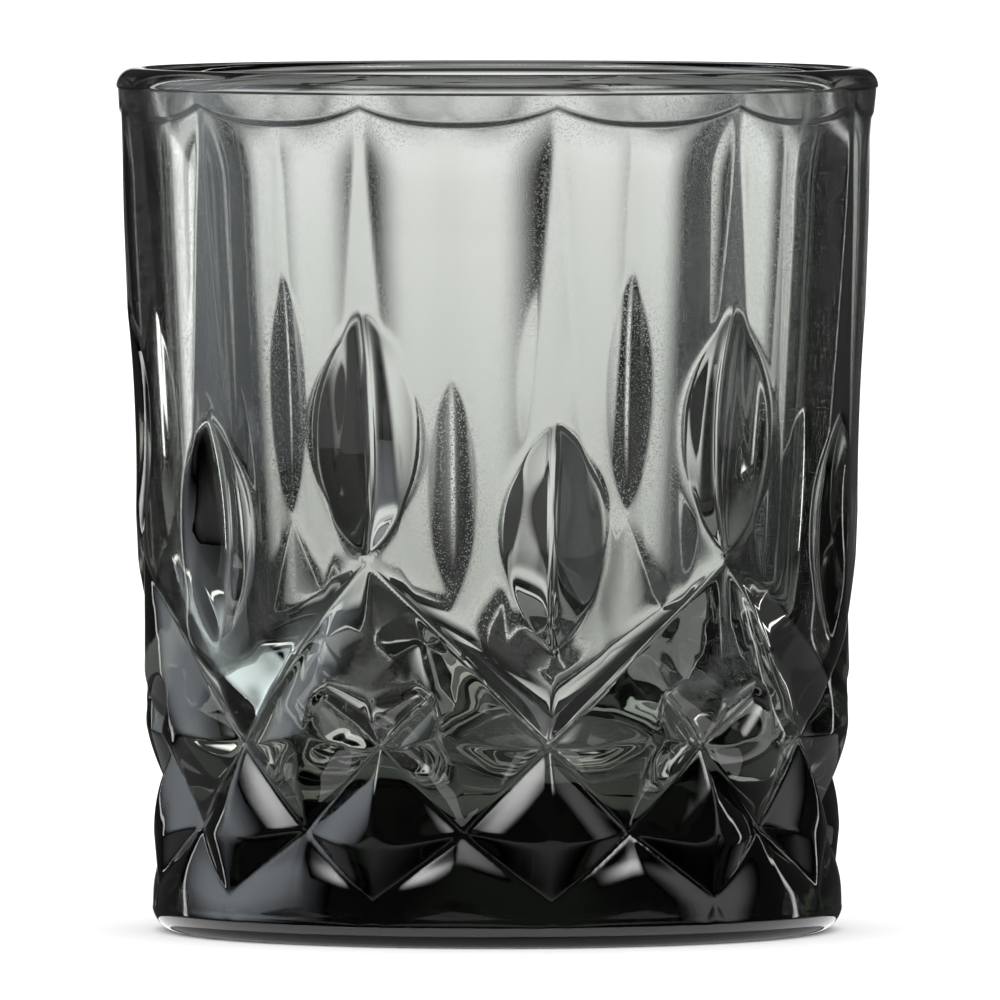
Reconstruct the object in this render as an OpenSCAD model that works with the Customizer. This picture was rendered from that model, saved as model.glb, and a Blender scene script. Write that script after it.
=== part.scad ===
/* [Body] */
// Overall height, foot to rim
height = 90.5; // [88:0.5:94]
// Outer diameter at the rim
rim_d = 80; // [79.8:0.2:80.2]
// Outer diameter of the smooth band above the foot
foot_d = 72.5; // [72:0.5:73.5]
// Outer diameter at the row of groove crossings
waist_d = 74.2; // [73.8:0.2:75]

/* [Rim] */
// Radius of the rounding on the rim's outer corner
rim_outer_round = 2; // [1.5:0.1:2.4]
// Radius of the rounding on the rim's inner corner
rim_inner_round = 0.7; // [0.5:0.1:1]
// Height of the plain band above the flat panels, at their edges
rim_band_h = 3; // [2.5:0.25:4]

/* [Bowl] */
// Inner diameter at the rim
bowl_rim_d = 73.2; // [72.4:0.2:74]
// Inner diameter where the wall meets the rounded bottom
bowl_foot_d = 62; // [61:0.2:63]
// Thickness of the glass under the bowl
base_t = 14; // [12:0.5:15]
// Radius of the bowl's bottom corner
bowl_round = 11; // [9:0.5:13]

/* [Foot] */
// Radius of the rounding between the wall and the foot
heel_round = 2.8; // [2:0.2:3.4]
// Diameter of the hollow under the base
hollow_d = 54; // [50:1:58]
// Depth of the hollow under the base
hollow_h = 1.2; // [0.8:0.1:1.6]

/* [Flat panels] */
// Distance across two opposite panels, just under the rim
panel_top_d = 77.1; // [76.9:0.1:77.3]
// Distance across two opposite panels, just above the foot
panel_foot_d = 72.6; // [72.4:0.1:72.8]

/* [Petals] */
// Radius of the cutting wheel that gives a petal its pointed ends
petal_wheel_r = 36; // [33:1:38]
// Depth of a petal's crease below the ridge that it is cut into
petal_depth = 2.35; // [2.2:0.05:2.4]
// Slope of a petal's two faces, in degrees
petal_slope = 12.5; // [11:0.5:14]
// Height of the middle of the upper row of petals
high_petal_z = 53.2; // [52:0.2:54]
// Height of the middle of the lower row of petals
low_petal_z = 42.8; // [42:0.2:43.6]

/* [Blades and diamonds] */
// Height where two long blades start, under an upper petal
blade_top_z = 39.9; // [39.5:0.2:39.9]
// Height of the upper row of crossings, on every ridge
cross_z = 20.9; // [20.5:0.1:21.3]
// Height of the lower tips of the diamonds, on every ridge
tip_z = 4.7; // [4.4:0.1:5]
// Height where a short groove starts, beside a ridge under an upper petal
short_top_z = 26; // [25.6:0.1:26.4]
// Depth of a long blade where it starts
blade_top_depth = 0.2; // [0.15:0.05:0.2]
// Depth of the grooves at the upper row of crossings
cross_depth = 3.5; // [3.5:0.05:3.7]
// Depth of the grooves at the lower tips of the diamonds
tip_depth = 0.15; // [0.1:0.05:0.25]
// Slope of a long blade's two faces, in degrees
blade_slope = 34; // [32:1:36]
// Slope of the other grooves' faces, in degrees
groove_slope = 30; // [29:0.5:31]

/* [Hidden] */
$fn = 96;

RIM_R = rim_d / 2;
FOOT_R = foot_d / 2;
WAIST_R = waist_d / 2;
BAND_Z = 11;
RIM_Z = height - rim_band_h;

PANELS = 12;
STEP = 360 / PANELS;
HALF = STEP / 2;
// Turn of the first upper petal about the axis, so that the front matches the usual view.
FIRST_RIDGE = -21;
// Turn from a ridge to where a short groove starts.
SHORT_TURN = 10;
CUT_KINDS = 9;

PANEL_LEAN = atan((panel_top_d - panel_foot_d) / 2 / (RIM_Z - heel_round));
WALL_LEAN = atan((RIM_R - WAIST_R) / (RIM_Z - cross_z));
BOWL_LEAN = atan((bowl_rim_d - bowl_foot_d) / 2 / (height - base_t - bowl_round));

// Outer radius of the round blank at a height between the foot and the rim.
function blank_r(z) =
    z < BAND_Z ? FOOT_R
    : z < cross_z ? FOOT_R + (WAIST_R - FOOT_R) * (z - BAND_Z) / (cross_z - BAND_Z)
    : WAIST_R + (z - cross_z) * tan(WALL_LEAN);

// A point sunk by depth into the blank, turned from the front, which faces -Y.
function sunk(turn, z, depth) =
    [(blank_r(z) - depth) * sin(turn), -(blank_r(z) - depth) * cos(turn), z];

// What is left of a square corner of size r outside its inscribed quarter circle.
module corner(r) {
    difference() {
        square(2 * r);
        circle(r);
    }
}

// Half of the outer section, with the foot at the bottom and the rim left square.
module outer_section() {
    difference() {
        polygon([
            [0, 0], [FOOT_R, 0], [FOOT_R, BAND_Z], [WAIST_R, cross_z],
            [RIM_R, RIM_Z], [RIM_R, height], [0, height]
        ]);
        translate([FOOT_R - heel_round, heel_round]) mirror([0, 1]) corner(heel_round);
        translate([RIM_R - rim_outer_round, height - rim_outer_round]) corner(rim_outer_round);
        translate([bowl_rim_d / 2 + rim_inner_round, height - rim_inner_round])
            mirror([1, 0]) corner(rim_inner_round);
    }
}

// Half of the bowl's section, with its bottom corner rounded.
module bowl_section() {
    top_r = bowl_rim_d / 2;
    foot_r = bowl_foot_d / 2;
    round_r = foot_r - bowl_round * cos(BOWL_LEAN);
    round_z = base_t + bowl_round;
    edge_r = round_r + bowl_round * cos(BOWL_LEAN);
    edge_z = round_z - bowl_round * sin(BOWL_LEAN);
    polygon([
        [0, base_t], [round_r, base_t], [round_r, round_z], [edge_r, edge_z],
        [top_r, height], [top_r, height + 1], [0, height + 1]
    ]);
    translate([round_r, round_z]) intersection() {
        circle(bowl_round);
        rotate(-90) square(2 * bowl_round);
    }
}

// The round blank: outer wall, bowl and the hollow under the base.
module blank() {
    rotate_extrude()
        difference() {
            outer_section();
            bowl_section();
            polygon([[0, -1], [hollow_d / 2 + hollow_h, -1], [hollow_d / 2, hollow_h], [0, hollow_h]]);
        }
}

// Twelve flat panels, which stop at a sloping shoulder under the rim band.
module panels() {
    size = 30;
    difference() {
        for (i = [0 : PANELS - 1])
            rotate([0, 0, FIRST_RIDGE + HALF + STEP * i])
                translate([-size / 2, -panel_foot_d / 2, heel_round])
                    rotate([PANEL_LEAN, 0, 0])
                        translate([0, -size / 2, 0])
                            cube([size, size / 2, height]);
        rotate_extrude()
            polygon([
                [0, RIM_Z - RIM_R], [RIM_R + size, RIM_Z + size],
                [0, RIM_Z + size]
            ]);
    }
}

// A leaf-shaped cut with a crease down its middle, as a V-edged wheel makes it.
module petal(z) {
    half_w = 9;
    edge_r = petal_wheel_r - half_w * tan(petal_slope);
    translate([0, -blank_r(z), z])
        rotate([WALL_LEAN, 0, 0])
            translate([0, petal_depth - petal_wheel_r, 0])
                rotate([0, 90, 0])
                    rotate_extrude()
                        polygon([
                            [0, -half_w], [edge_r, -half_w], [petal_wheel_r, 0],
                            [edge_r, half_w], [0, half_w]
                        ]);
}

// A straight V groove whose crease runs between two points and a little past both, open to the front.
module groove(from, to, slope) {
    run = to - from;
    length = norm(run);
    past = 2;
    half_w = 9;
    rise = half_w * tan(slope);
    translate(from)
        rotate([0, -asin(run.z / length), atan(run.y / run.x)])
            rotate([90, 0, 90])
                translate([0, 0, -past])
                    linear_extrude(length + 2 * past)
                        polygon([
                            [0, 0], [-rise, half_w], [-rise - 4, half_w],
                            [-rise - 4, -half_w], [-rise, -half_w]
                        ]);
}

// A long blade across one panel, from under an upper petal down to the next ridge.
module blade() {
    groove(sunk(-HALF, blade_top_z, blade_top_depth), sunk(HALF, cross_z, cross_depth), blade_slope);
}

// A groove across one panel that forms two sides of the diamonds.
module diamond_side() {
    groove(sunk(-HALF, cross_z, cross_depth), sunk(HALF, tip_z, tip_depth), groove_slope);
}

// A short groove that carries a diamond's side on past a ridge with an upper petal, a little less deep.
module short_groove() {
    groove(sunk(-HALF, cross_z, 0.8 * cross_depth), sunk(SHORT_TURN - HALF, short_top_z, 0), groove_slope);
}

// Copies of one cut, evenly spaced, each turned from the front by first and more.
module around(first, count) {
    for (i = [0 : count - 1])
        rotate([0, 0, first + 360 / count * i])
            children();
}

// The cuts of one kind, which stay clear of each other.
module cuts(kind) {
    if (kind == 1) panels();
    if (kind == 2) around(FIRST_RIDGE, PANELS / 2) petal(high_petal_z);
    if (kind == 3) around(FIRST_RIDGE + STEP, PANELS / 2) petal(low_petal_z);
    if (kind == 4) around(FIRST_RIDGE + HALF, PANELS / 2) blade();
    if (kind == 5) around(FIRST_RIDGE - HALF, PANELS / 2) mirror([1, 0, 0]) blade();
    if (kind == 6) around(FIRST_RIDGE + HALF, PANELS) diamond_side();
    if (kind == 7) around(FIRST_RIDGE + HALF, PANELS) mirror([1, 0, 0]) diamond_side();
    if (kind == 8) around(FIRST_RIDGE + HALF, PANELS / 2) short_groove();
    if (kind == 9) around(FIRST_RIDGE - HALF, PANELS / 2) mirror([1, 0, 0]) short_groove();
}

// The blank after the cuts of the first few kinds.
module cut_blank(kinds) {
    if (kinds == 0) blank();
    else difference() {
        cut_blank(kinds - 1);
        cuts(kinds);
    }
}

// One piece of pressed glass.
module tumbler() {
    color([0.36, 0.38, 0.38, 0.6])
        cut_blank(CUT_KINDS);
}

tumbler();
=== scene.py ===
"""A smoke-grey pressed glass whiskey tumbler: panels, two rows of petals and a diamond-cut base.

The glass is one closed mesh, made from a formula for its outer wall. Its sizes are in millimetres
until the mesh is made, and the lights and the camera are in metres. The wall's pattern repeats
every 60 degrees and is its own mirror image, so each cut is described once, by its place on the
unrolled wall beside a ridge with an upper petal.
"""

import math

import bmesh
import bpy
import numpy as np
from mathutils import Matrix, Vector


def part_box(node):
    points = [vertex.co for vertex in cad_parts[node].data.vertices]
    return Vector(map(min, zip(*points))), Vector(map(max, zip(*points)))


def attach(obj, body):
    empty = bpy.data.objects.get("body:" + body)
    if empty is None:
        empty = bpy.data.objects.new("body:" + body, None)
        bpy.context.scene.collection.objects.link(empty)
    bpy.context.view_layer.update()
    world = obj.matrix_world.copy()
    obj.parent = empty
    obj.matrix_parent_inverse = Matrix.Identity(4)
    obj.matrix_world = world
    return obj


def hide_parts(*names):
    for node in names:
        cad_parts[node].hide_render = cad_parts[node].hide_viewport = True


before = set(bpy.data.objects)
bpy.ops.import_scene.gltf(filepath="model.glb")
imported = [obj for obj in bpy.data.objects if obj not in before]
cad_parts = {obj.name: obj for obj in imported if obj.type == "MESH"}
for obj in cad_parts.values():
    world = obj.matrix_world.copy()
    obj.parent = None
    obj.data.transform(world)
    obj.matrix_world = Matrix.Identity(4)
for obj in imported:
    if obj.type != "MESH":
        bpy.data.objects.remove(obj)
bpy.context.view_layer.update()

MM = 0.001
LOW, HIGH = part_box("tumbler")
HEIGHT = HIGH[2] / MM
RIM_R = min(HIGH[0], HIGH[1], -LOW[0], -LOW[1]) / MM

# The outer wall before it is cut. It is upright up to FLARE_Z and above FLARE_END_Z.
FOOT_R = 36.25
HEEL_ROUND = 2.8
FLARE_Z = 7.0
FLARE_SOFT = 1.5
FLARE_END_Z = 85.0
FLARE_END_SOFT = 0.1
RIM_ROUND = 2.0
INNER_RIM_ROUND = 0.9

# The twelve panels, which fade into the rim's band. A flatness of 1 is flat, and 0 is round.
PANELS = 12
PANEL_TOP_R = 38.95
PANEL_FOOT_R = 36.3
PANEL_FLATNESS = 0.8
PANEL_FADE = (81.5, 89.5)
PANEL_FADE_SOFT = 0.3
PANEL_EDGE_SOFT = 0.05
RIDGE_SOFT = 0.06

# The fine step at the panels' upper ends, lowest in the middle of a panel. It is gone LIP_TAPER below.
LIP_Z = 85.7
LIP_RISE = 1.8
LIP_ARCH = 2.5
LIP_DEPTH = 0.18
LIP_WIDTH = 0.8
LIP_TAPER = 12.0

# The bowl, and the hollow under the base with the chamfers on its two edges.
BOWL_RIM_R = 36.6
BOWL_FOOT_R = 31.0
BOWL_ROUND = 11.0
BASE_T = 14.0
HOLLOW_R = 27.0
HOLLOW_H = 1.2
HOLLOW_EDGE = 1.0
HOLLOW_EDGE_H = 0.1
RING_EDGE = 0.4
RING_EDGE_H = 0.1

# The pattern: the turn of its first ridge from the front, and the heights of its crossings and tips.
FIRST_RIDGE = -21.0
REPEAT = 60.0
UNROLL_R = 37.0
MM_PER_DEGREE = math.radians(UNROLL_R)
BLADE_TOP_Z = 39.9
CROSS_Z = 20.9
SIDE_Z = 11.8
TIP_Z = 4.7

# The petals. A higher bluntness gives them rounder ends.
PETAL_BLUNT = 2.3
UPPER_PETAL = {"centre_z": 53.2, "half_length": 13.4, "depth": 2.35, "half_width": 5.9}
LOWER_PETAL = {"centre_z": 42.8, "half_length": 12.5, "depth": 2.2, "half_width": 5.7}

# The grooves, by points along their creases: turn from the ridge in degrees, height, depth, and the
# width of the face above and of the face below the crease.
LONG_GROOVE = [
    (0, BLADE_TOP_Z, 0.1, 0.2, 0.5),
    (6.5, 35.8, 1.3, 1.3, 3.5),
    (10, 33.57, 1.8, 1.8, 4.5),
    (15, 30.4, 2.4, 2.4, 4.9),
    (26, 23.43, 3.4, 3.8, 5.2),
    (30, CROSS_Z, 3.6, 4.2, 5.4),
    (37.5, 16.35, 3.4, 6.0, 5.4),
    (45, SIDE_Z, 3.2, 6.5, 5.4),
    (60, TIP_Z, 0.1, 0.2, 0.2),
]
SHORT_GROOVE = [
    (10.5, 26.15, 0.1, 0.2, 0.2),
    (9.5, 25.65, 2.2, 1.8, 1.8),
    (4, 22.9, 2.9, 2.8, 2.6),
    (0, CROSS_Z, 3.6, 2.3, 5.4),
    (-7.5, 16.35, 3.4, 4.4, 5.4),
    (-15, SIDE_Z, 3.2, 6.5, 5.4),
    (-30, TIP_Z, 0.1, 0.2, 0.2),
]
# No face of a groove is taken as narrower than this.
LEAST_WIDTH = 0.05

# How far pressing and fire polishing round the cuts. A PILLOW below 1 swells a groove's faces.
EDGE_SOFT = 0.3
CREASE_SOFT = 0.35
PILLOW = 0.8
PILLOW_SOFT = 1.5

# The mesh: points round the axis, its innermost ring, and the stretch where its rows are sparse.
COLUMNS = 720
FIRST_RING_R = 0.5
SPARSE_Z = 68.0
SPARSE_END_Z = 84.0

# The glass, and the grain of its plain outer wall, which is gone where a cut is GRAIN_FADE deep. A
# speck falls off between two distances from the middle of its cell. Its height is in metres.
GLASS_IOR = 1.52
GLASS_COLOUR = (0.68, 0.70, 0.67, 1.0)
GLASS_DENSITY = 262.0
GRAIN_FADE = 0.3
GRAIN_ROUGH = 0.05
RIM_GRAIN = 3.0
RIM_GRAIN_Z = 82.0
RIM_GRAIN_SPAN = 4.0
SPECKS_PER_M = 5000.0
SPECK_FALL = (0.05, 0.35)
SPECK_HEIGHT = 0.000006

# The studio, in metres. The side cards face MIDDLE.
MIDDLE = (0, 0, 0.05)
WORLD_STRENGTH = 1.6
SURROUND_STRENGTH = 0.045
SURROUND_R = 6.0
FOOT_GLOW_R = (0.0375, 0.047)
FOOT_GLOW_Z = -0.003
FOOT_GLOW_STRENGTH = 1.5
FOOT_GLOW_SIDES = 96
FLOOR_HALF = 14.0
FLOOR_SHADE = 0.95
CAMERA_PLACE = (0.0003, -2.35, 0.1385)
CAMERA_AIM_Z = 0.0451
CAMERA_LENS = 807
CAMERA_REACH = 100


def soft_min(a, b, k):
    """The smaller of a and b, with the corner between them rounded over about k."""
    mix = np.clip(0.5 + 0.5 * (b - a) / k, 0.0, 1.0)
    return b * (1 - mix) + a * mix - k * mix * (1 - mix)


def soft_max(a, b, k):
    """The larger of a and b, with the corner between them rounded over about k."""
    return -soft_min(-a, -b, k)


def soft_ramp(x, width):
    """Nothing below 0 and x above it, with a smooth start."""
    return width * np.logaddexp(0.0, x / width)


def smooth_step(x):
    """0 below 0, 1 above 1 and a smooth rise between."""
    x = np.clip(x, 0.0, 1.0)
    return x * x * (3.0 - 2.0 * x)


def cone_radius(z):
    """The round blank, which flares from the band above the foot up to the rim's band."""
    slope = (RIM_R - FOOT_R) / soft_ramp(FLARE_END_Z - FLARE_Z, FLARE_SOFT)
    cone = FOOT_R + slope * soft_ramp(z - FLARE_Z, FLARE_SOFT)
    return np.minimum(soft_min(cone, RIM_R, FLARE_END_SOFT), RIM_R)


def panel_depth(off, z, cone):
    """Depth of the panels below the blank, at a turn from the middle of the nearest one."""
    step = 360.0 / PANELS
    up = (z - HEEL_ROUND) / (FLARE_END_Z - HEEL_ROUND)
    middle = PANEL_FOOT_R + (PANEL_TOP_R - PANEL_FOOT_R) * up
    own, left, right = (
        middle * (1 + PANEL_FLATNESS * (1 / np.cos(np.radians(away)) - 1))
        for away in (off, off - step, off + step)
    )
    roof = soft_min(soft_min(own, left, RIDGE_SOFT), right, RIDGE_SOFT)
    low, high = PANEL_FADE
    fade = soft_max((high - z) / (high - low), 0.0, PANEL_FADE_SOFT)
    return (cone - soft_min(roof, cone, PANEL_EDGE_SOFT)) * soft_min(fade, 1.0, PANEL_FADE_SOFT)


def lip_depth(off, z):
    """Depth of the fine step at the panels' upper ends, which arches up to each ridge."""
    half = 180.0 / PANELS
    lip = LIP_Z + LIP_RISE * np.abs(off / half) ** LIP_ARCH
    below = smooth_step((lip - z) / LIP_WIDTH)
    return LIP_DEPTH * below * smooth_step((z - LIP_Z + LIP_TAPER) / LIP_TAPER)


def panelled_radius(turn, z):
    """The blank with its panels, a little rounder than flat, which meet at multiples of 30 degrees."""
    step = 360.0 / PANELS
    off = np.mod(turn, step) - step / 2
    cone = cone_radius(z)
    return cone - panel_depth(off, z, cone) - lip_depth(off, z)


def petal(x, z, centre_x, centre_z, half_length, depth, half_width):
    """Depth of a leaf-shaped cut with a crease down its middle."""
    along = (z - centre_z) / half_length
    across = np.sqrt((x - centre_x) ** 2 + CREASE_SOFT ** 2)
    return depth * (1 - np.abs(along) ** PETAL_BLUNT) - depth / half_width * across


def groove(x, z, nodes):
    """Depth of a V-shaped cut, whose points are given as in LONG_GROOVE."""
    nodes = np.array(nodes)
    if nodes[0, 0] > nodes[-1, 0]:
        nodes = nodes[::-1]
    at = nodes[:, 0] * MM_PER_DEGREE
    height, depth, above, below = (nodes[:, i] for i in range(1, 5))
    slope = np.interp(x, 0.5 * (at[1:] + at[:-1]), np.diff(height) / np.diff(at))
    rise = z - np.interp(x, at, height)
    off = rise / np.hypot(1.0, slope)
    foot = x + rise * slope / (1.0 + slope ** 2)
    width = np.where(off > 0, np.interp(foot, at, above), np.interp(foot, at, below))
    across = np.sqrt(off ** 2 + CREASE_SOFT ** 2) / np.maximum(width, LEAST_WIDTH)
    cut = np.interp(foot, at, depth) * (1 - across ** PILLOW)
    beyond = np.maximum(np.maximum(at[0] - foot, foot - at[-1]), 0.0)
    return cut - beyond


def unrolled(turn):
    """Millimetres along the unrolled wall, for a turn in degrees."""
    return turn * MM_PER_DEGREE


def cut_depth(turn, z):
    """Depth of the pattern below the panelled wall, at a turn from a ridge with an upper petal."""
    half = REPEAT / 2
    folded = np.abs(np.mod(turn + half, REPEAT) - half)
    petals = soft_max(
        petal(unrolled(folded), z, 0.0, **UPPER_PETAL),
        petal(unrolled(folded), z, unrolled(half), **LOWER_PETAL),
        EDGE_SOFT,
    )
    grooves = np.full_like(z, -PILLOW_SOFT)
    for image in (folded, -folded, REPEAT - folded, REPEAT + folded):
        grooves = soft_max(grooves, groove(unrolled(image), z, LONG_GROOVE), EDGE_SOFT)
        grooves = soft_max(grooves, groove(unrolled(image), z, SHORT_GROOVE), EDGE_SOFT)
        grooves = soft_max(grooves, groove(unrolled(image - REPEAT), z, SHORT_GROOVE), EDGE_SOFT)
    plain = np.zeros_like(z)
    grooved = soft_max(plain, grooves, PILLOW_SOFT)
    return soft_max(grooved, soft_max(plain, petals, EDGE_SOFT), EDGE_SOFT)


def arc(centre_r, centre_z, radius, start, end, count):
    """Points on a quarter-round or less of a section, as (radius, height), by angles in degrees."""
    angles = np.radians(np.linspace(start, end, count))
    return [(centre_r + radius * math.cos(a), centre_z + radius * math.sin(a)) for a in angles]


def line(a, b, count):
    """Count points from a up to, but without, b."""
    return [(a[0] + (b[0] - a[0]) * i / count, a[1] + (b[1] - a[1]) * i / count) for i in range(count)]


def wall_heights():
    """Heights of the outer wall's rows, set so that the creases run along the mesh's diagonals."""
    # The two ends of each run, and its number of rows.
    runs = [
        (HEEL_ROUND, TIP_Z, 6),
        (TIP_Z, SIDE_Z, 30),
        (SIDE_Z, CROSS_Z, 30),
        (CROSS_Z, BLADE_TOP_Z, 60),
        (BLADE_TOP_Z, SPARSE_Z, 80),
        (SPARSE_Z, SPARSE_END_Z, 16),
        (SPARSE_END_Z, HEIGHT - RIM_ROUND, 45),
    ]
    heights = []
    for low, high, count in runs:
        heights += [low + (high - low) * i / count for i in range(count)]
    return np.array(heights)


def base_section():
    """The underside from the axis out to the top of the heel."""
    ring_r = HOLLOW_R + HOLLOW_H
    flat_r = HOLLOW_R - HOLLOW_EDGE
    edge = (HOLLOW_R, HOLLOW_H - HOLLOW_EDGE_H)
    stand_r = FOOT_R - HEEL_ROUND
    points = line((FIRST_RING_R, HOLLOW_H), (flat_r, HOLLOW_H), 10)
    points += line((flat_r, HOLLOW_H), edge, 2)
    points += line(edge, (ring_r, RING_EDGE_H), 4)
    points += line((ring_r, RING_EDGE_H), (ring_r + RING_EDGE, 0.0), 2)
    points += line((ring_r + RING_EDGE, 0.0), (stand_r, 0.0), 5)
    return points + arc(stand_r, HEEL_ROUND, HEEL_ROUND, -90, 0, 13)[:-1]


def bowl_section():
    """The rim from its outer corner inwards, then the bowl down to the axis."""
    inner_r = BOWL_RIM_R + INNER_RIM_ROUND
    corner_z = BASE_T + BOWL_ROUND
    round_r = BOWL_FOOT_R - BOWL_ROUND
    points = arc(RIM_R - RIM_ROUND, HEIGHT - RIM_ROUND, RIM_ROUND, 0, 90, 13)[:-1]
    points += line((RIM_R - RIM_ROUND, HEIGHT), (inner_r, HEIGHT), 2)
    points += arc(inner_r, HEIGHT - INNER_RIM_ROUND, INNER_RIM_ROUND, 90, 180, 10)[:-1]
    points += line((BOWL_RIM_R, HEIGHT - INNER_RIM_ROUND), (BOWL_FOOT_R, corner_z), 40)
    points += arc(round_r, corner_z, BOWL_ROUND, 0, -90, 25)[:-1]
    return points + line((round_r, BASE_T), (0.0, BASE_T), 12)


def tumbler_points():
    """Rows of points around the axis, from under the base up the outside and down into the bowl.

    With each point comes how grained the glass is there: the plain outer wall is, most of all under
    the rim, and the cuts aren't.
    """
    turn = FIRST_RIDGE + np.arange(COLUMNS) * 360.0 / COLUMNS
    around = np.stack([np.sin(np.radians(turn)), -np.cos(np.radians(turn))])
    heights = wall_heights()
    grid_turn, grid_z = np.meshgrid(turn - FIRST_RIDGE, heights)
    depth = cut_depth(grid_turn, grid_z)
    wall_r = panelled_radius(grid_turn, grid_z) - depth
    rows = [(np.full(COLUMNS, r), z) for r, z in base_section()]
    first = len(rows)
    rows += [(wall_r[i], z) for i, z in enumerate(heights)]
    rows += [(np.full(COLUMNS, r), z) for r, z in bowl_section()]
    points = [np.column_stack([around[0] * r, around[1] * r, np.full(COLUMNS, z)]) for r, z in rows]
    rim_grain = 1.0 + (RIM_GRAIN - 1.0) * smooth_step((grid_z - RIM_GRAIN_Z) / RIM_GRAIN_SPAN)
    grain = np.zeros((len(rows), COLUMNS))
    grain[first:first + len(heights)] = np.clip(1.0 - depth / GRAIN_FADE, 0.0, 1.0) * rim_grain
    return np.array(points), grain


def split_quads(points):
    """Two triangles for each cell of the grid, split along the shorter diagonal."""
    rows, columns = points.shape[:2]
    index = np.arange(rows * columns).reshape(rows, columns)
    a, b = index[:-1], np.roll(index, -1, axis=1)[:-1]
    d, c = index[1:], np.roll(index, -1, axis=1)[1:]
    flat = points.reshape(-1, 3)
    rising = np.linalg.norm(flat[a] - flat[c], axis=2)
    falling = np.linalg.norm(flat[b] - flat[d], axis=2)
    keep = (rising <= falling)[..., None]
    first = np.where(keep, np.stack([a, b, c], -1), np.stack([a, b, d], -1))
    second = np.where(keep, np.stack([a, c, d], -1), np.stack([b, c, d], -1))
    return np.concatenate([first.reshape(-1, 3), second.reshape(-1, 3)])


def closed_mesh(name, points, grain):
    """A closed mesh from a grid of points, with a fan over each end."""
    rows, columns = points.shape[:2]
    flat = points.reshape(-1, 3) * MM
    ends = [[0, 0, flat[0, 2]], [0, 0, flat[-1, 2]]]
    ring = np.arange(columns)
    following = np.roll(ring, -1)
    last = (rows - 1) * columns
    bottom = np.column_stack([np.full(columns, len(flat)), following, ring])
    top = np.column_stack([np.full(columns, len(flat) + 1), last + ring, last + following])
    faces = np.concatenate([split_quads(points), bottom, top])
    mesh = bpy.data.meshes.new(name)
    mesh.from_pydata(np.concatenate([flat, ends]).tolist(), [], faces.tolist())
    mesh.polygons.foreach_set("use_smooth", np.ones(len(faces), dtype=bool))
    mask = mesh.attributes.new("grain", "FLOAT", "POINT")
    mask.data.foreach_set("value", np.concatenate([grain.ravel(), [0.0, 0.0]]))
    mesh.update()
    return mesh


def product(tree, a, b):
    """The product of a socket and either another socket or a number."""
    node = tree.nodes.new("ShaderNodeMath")
    node.operation = "MULTIPLY"
    tree.links.new(a, node.inputs[0])
    if isinstance(b, bpy.types.NodeSocket):
        tree.links.new(b, node.inputs[1])
    else:
        node.inputs[1].default_value = b
    return node.outputs[0]


def fade_out(tree, value, low, high):
    """A node that gives 1 where the value is low or less, and 0 where it is high or more."""
    node = tree.nodes.new("ShaderNodeMapRange")
    node.inputs["From Min"].default_value = low
    node.inputs["From Max"].default_value = high
    node.inputs["To Min"].default_value = 1.0
    node.inputs["To Max"].default_value = 0.0
    tree.links.new(value, node.inputs["Value"])
    return node


def grain_height(tree, mask):
    """Relief of the grain: a speck in each cell of a Voronoi texture, as high as the mask."""
    place = tree.nodes.new("ShaderNodeTexCoord")
    cells = tree.nodes.new("ShaderNodeTexVoronoi")
    cells.inputs["Scale"].default_value = SPECKS_PER_M
    tree.links.new(place.outputs["Object"], cells.inputs["Vector"])
    speck = fade_out(tree, cells.outputs["Distance"], *SPECK_FALL)
    return product(tree, speck.outputs["Result"], mask)


def smoke_glass():
    """Clear grey glass with a faint pressed grain."""
    material = bpy.data.materials.new("smoke_glass")
    material.use_nodes = True
    tree = material.node_tree
    shader = tree.nodes["Principled BSDF"]
    shader.inputs["Base Color"].default_value = (1.0, 1.0, 1.0, 1.0)
    shader.inputs["Transmission Weight"].default_value = 1.0
    shader.inputs["IOR"].default_value = GLASS_IOR
    mask = tree.nodes.new("ShaderNodeAttribute")
    mask.attribute_name = "grain"
    tree.links.new(product(tree, mask.outputs["Fac"], GRAIN_ROUGH), shader.inputs["Roughness"])
    bump = tree.nodes.new("ShaderNodeBump")
    bump.inputs["Strength"].default_value = 1.0
    bump.inputs["Distance"].default_value = SPECK_HEIGHT
    tree.links.new(grain_height(tree, mask.outputs["Fac"]), bump.inputs["Height"])
    tree.links.new(bump.outputs["Normal"], shader.inputs["Normal"])
    absorb = tree.nodes.new("ShaderNodeVolumeAbsorption")
    absorb.inputs["Color"].default_value = GLASS_COLOUR
    absorb.inputs["Density"].default_value = GLASS_DENSITY
    tree.links.new(absorb.outputs["Volume"], tree.nodes["Material Output"].inputs["Volume"])
    return material


def make_tumbler():
    """The one piece of the object."""
    mesh = closed_mesh("tumbler_glass", *tumbler_points())
    mesh.materials.append(smoke_glass())
    piece = bpy.data.objects.new("tumbler_glass", mesh)
    bpy.context.scene.collection.objects.link(piece)
    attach(piece, "root")
    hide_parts("tumbler")


def emission(name):
    """A material with nothing but a glow. Gives the material and its glow node."""
    material = bpy.data.materials.new(name)
    material.use_nodes = True
    tree = material.node_tree
    tree.nodes.clear()
    glow = tree.nodes.new("ShaderNodeEmission")
    out = tree.nodes.new("ShaderNodeOutputMaterial")
    tree.links.new(glow.outputs[0], out.inputs["Surface"])
    return material, glow


def glow_material(name, strength):
    """An even white glow."""
    material, glow = emission(name)
    glow.inputs["Strength"].default_value = strength
    return material


def soft_edge(tree, coordinate, soft):
    """1 in the middle of a card and 0 at its edge, along one of the card's own axes."""
    size = tree.nodes.new("ShaderNodeMath")
    size.operation = "ABSOLUTE"
    tree.links.new(coordinate, size.inputs[0])
    fade = fade_out(tree, size.outputs[0], 1.0 - soft, 1.0)
    fade.interpolation_type = "SMOOTHSTEP"
    return fade.outputs["Result"]


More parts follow.
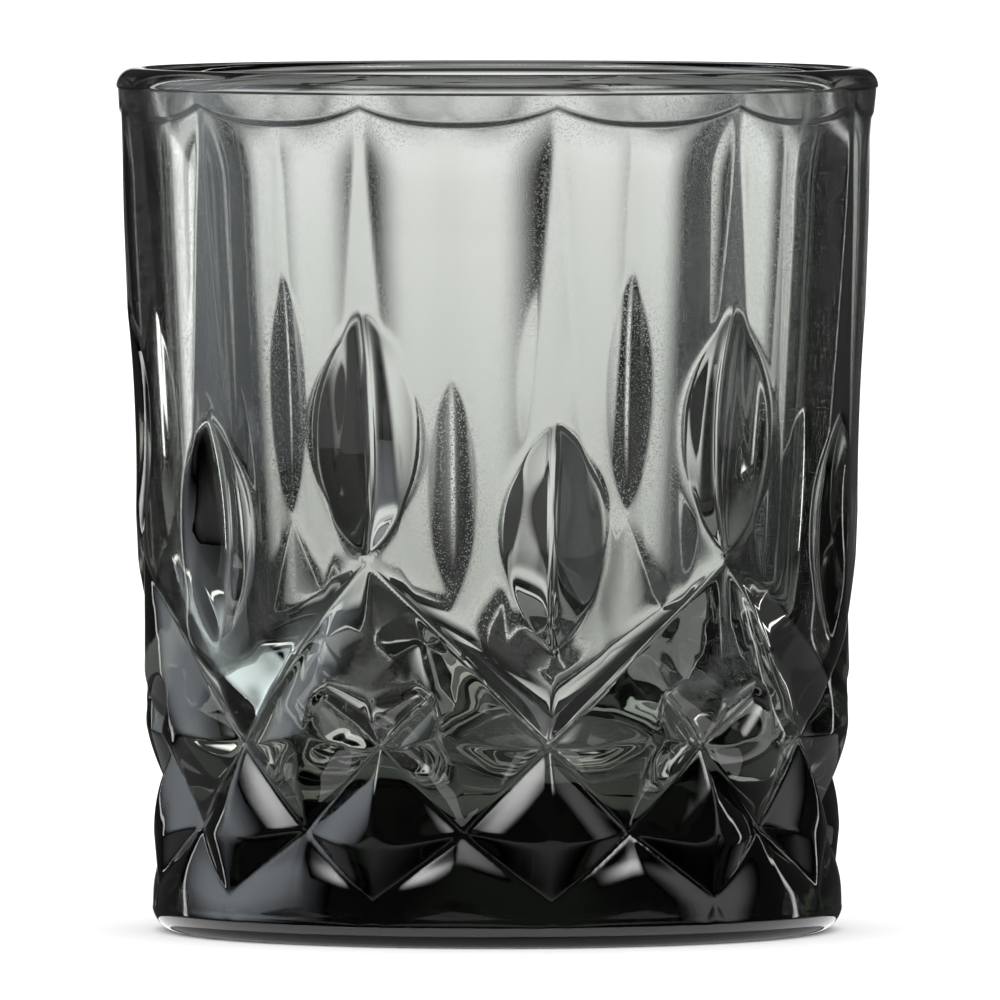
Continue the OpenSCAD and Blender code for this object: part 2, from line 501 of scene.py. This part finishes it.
def card_material(name, strength, soft, colour):
    """A glow that fades towards the edges of a card, whose corners are at 1 and -1 along its axes."""
    material, glow = emission(name)
    tree = material.node_tree
    place = tree.nodes.new("ShaderNodeTexCoord")
    split = tree.nodes.new("ShaderNodeSeparateXYZ")
    tree.links.new(place.outputs["Object"], split.inputs[0])
    across = soft_edge(tree, split.outputs["X"], soft[0])
    up = soft_edge(tree, split.outputs["Y"], soft[1])
    tree.links.new(product(tree, product(tree, across, up), strength), glow.inputs["Strength"])
    glow.inputs["Color"].default_value = (*colour, 1.0)
    return material


def flat_square(name, half):
    """A mesh of one upward face, with its corners at half and -half."""
    mesh = bpy.data.meshes.new(name)
    corners = [(-half, -half, 0), (half, -half, 0), (half, half, 0), (-half, half, 0)]
    mesh.from_pydata(corners, [], [(0, 1, 2, 3)])
    return mesh


def add_glow(name, mesh, material):
    """A bright piece of the studio, seen only in what the glass reflects and lets through."""
    mesh.materials.append(material)
    piece = bpy.data.objects.new(name, mesh)
    piece.visible_camera = False
    piece.visible_diffuse = False
    piece.visible_shadow = False
    bpy.context.scene.collection.objects.link(piece)
    return piece


def card(name, size, place, aim, strength, soft, colour=(1.0, 1.0, 1.0)):
    """A bright card that faces a point. Soft is the part of its width and height over which it fades."""
    piece = add_glow(name, flat_square(name, 1), card_material(name, strength, soft, colour))
    piece.scale = (size[0] / 2, size[1] / 2, 1.0)
    piece.location = place
    piece.rotation_euler = (Vector(aim) - Vector(place)).to_track_quat("Z", "Y").to_euler()


def foot_glow():
    """A bright ring on the ground round the foot, which shines in the heel as a white table does."""
    count = FOOT_GLOW_SIDES
    points = []
    for radius in FOOT_GLOW_R:
        for i in range(count):
            turn = 2 * math.pi * i / count
            points.append((radius * math.cos(turn), radius * math.sin(turn), FOOT_GLOW_Z))
    faces = [(i, (i + 1) % count, count + (i + 1) % count, count + i) for i in range(count)]
    mesh = bpy.data.meshes.new("foot_glow")
    mesh.from_pydata(points, [], faces)
    add_glow("foot_glow", mesh, glow_material("foot_glow", FOOT_GLOW_STRENGTH))


def surround():
    """A dim dome all round, so that the glass doesn't go black where it sees no card."""
    mesh = bpy.data.meshes.new("surround")
    shape = bmesh.new()
    bmesh.ops.create_icosphere(shape, subdivisions=3, radius=SURROUND_R)
    shape.to_mesh(mesh)
    shape.free()
    add_glow("surround", mesh, glow_material("surround", SURROUND_STRENGTH))


def make_floor():
    """A pale floor that reaches past the top of the picture. The glass doesn't see it."""
    material = bpy.data.materials.new("floor")
    material.use_nodes = True
    shader = material.node_tree.nodes["Principled BSDF"]
    shader.inputs["Base Color"].default_value = (FLOOR_SHADE, FLOOR_SHADE, FLOOR_SHADE, 1)
    shader.inputs["Roughness"].default_value = 1.0
    mesh = flat_square("floor", FLOOR_HALF)
    mesh.materials.append(material)
    floor = bpy.data.objects.new("floor", mesh)
    bpy.context.scene.collection.objects.link(floor)
    floor.visible_transmission = False
    floor.visible_glossy = False


def make_camera():
    """A long lens, a little above the rim, that looks down at the middle of the glass."""
    camera = bpy.data.cameras.new("camera")
    camera.lens = CAMERA_LENS
    camera.clip_end = CAMERA_REACH
    eye = bpy.data.objects.new("camera", camera)
    pitch = math.atan2(CAMERA_PLACE[2] - CAMERA_AIM_Z, -CAMERA_PLACE[1])
    eye.location = CAMERA_PLACE
    eye.rotation_euler = (math.pi / 2 - pitch, 0, 0)
    bpy.context.scene.collection.objects.link(eye)
    bpy.context.scene.camera = eye


def make_world():
    """White surroundings, which the camera and the floor see and the glass doesn't."""
    world = bpy.data.worlds.new("studio")
    world.use_nodes = True
    world.node_tree.nodes["Background"].inputs["Color"].default_value = (1, 1, 1, 1)
    world.node_tree.nodes["Background"].inputs["Strength"].default_value = WORLD_STRENGTH
    world.cycles_visibility.transmission = False
    world.cycles_visibility.glossy = False
    bpy.context.scene.world = world


def make_lights():
    """The cards, the ring and the dome, which are all that the glass sees."""
    # What shows through the panels.
    card("card_behind", (0.345, 0.32), (-0.02, 0.7, 0.03), (-0.02, 0, 0.03), 1.35, soft=(0.7, 0.8))
    # The light line along the rim.
    card("card_above", (1.0, 0.7), (0.0, -0.7, 1.1), (0, 0, 0), 3.0, soft=(0.9, 0.9))
    # Broad light from the sides, and thin strips for the edges of the glass.
    card(
        "card_left", (1.6, 1.2), (-1.0, 0.05, 0.3), MIDDLE, 2.6, soft=(0.9, 0.8),
        colour=(0.86, 0.93, 1.0),
    )
    card("card_right", (0.6, 1.0), (1.0, -0.2, 0.3), MIDDLE, 1.2, soft=(0.9, 0.5))
    card("strip_left", (0.08, 1.2), (-0.8, 0.6, 0.3), MIDDLE, 4.0, soft=(0.9, 0.2))
    card("strip_right", (0.08, 1.2), (0.85, 0.45, 0.3), MIDDLE, 5.0, soft=(0.9, 0.2))
    # High cards, which the diamonds' upper faces reflect towards the camera.
    for name, side in (("high_left", -1), ("high_right", 1)):
        card(name, (0.55, 0.45), (side * 0.55, -0.55, 0.65), (0, 0, 0.01), 10.0, soft=(0.9, 0.9))
    # The table, for views from above. Its back half lies lower, where only steep rays reach it.
    card("table_front", (1.2, 0.9), (0, -0.5, -0.005), (0, -0.5, 1), 0.5, soft=(0.4, 0.15))
    card("table_back", (1.3, 0.65), (0, 0.2, -0.12), (0, 0.2, 1), 0.36, soft=(0.4, 0.3))
    foot_glow()
    surround()


make_tumbler()
make_floor()
make_camera()
make_world()
make_lights()
bpy.context.scene.view_settings.view_transform = "Standard"
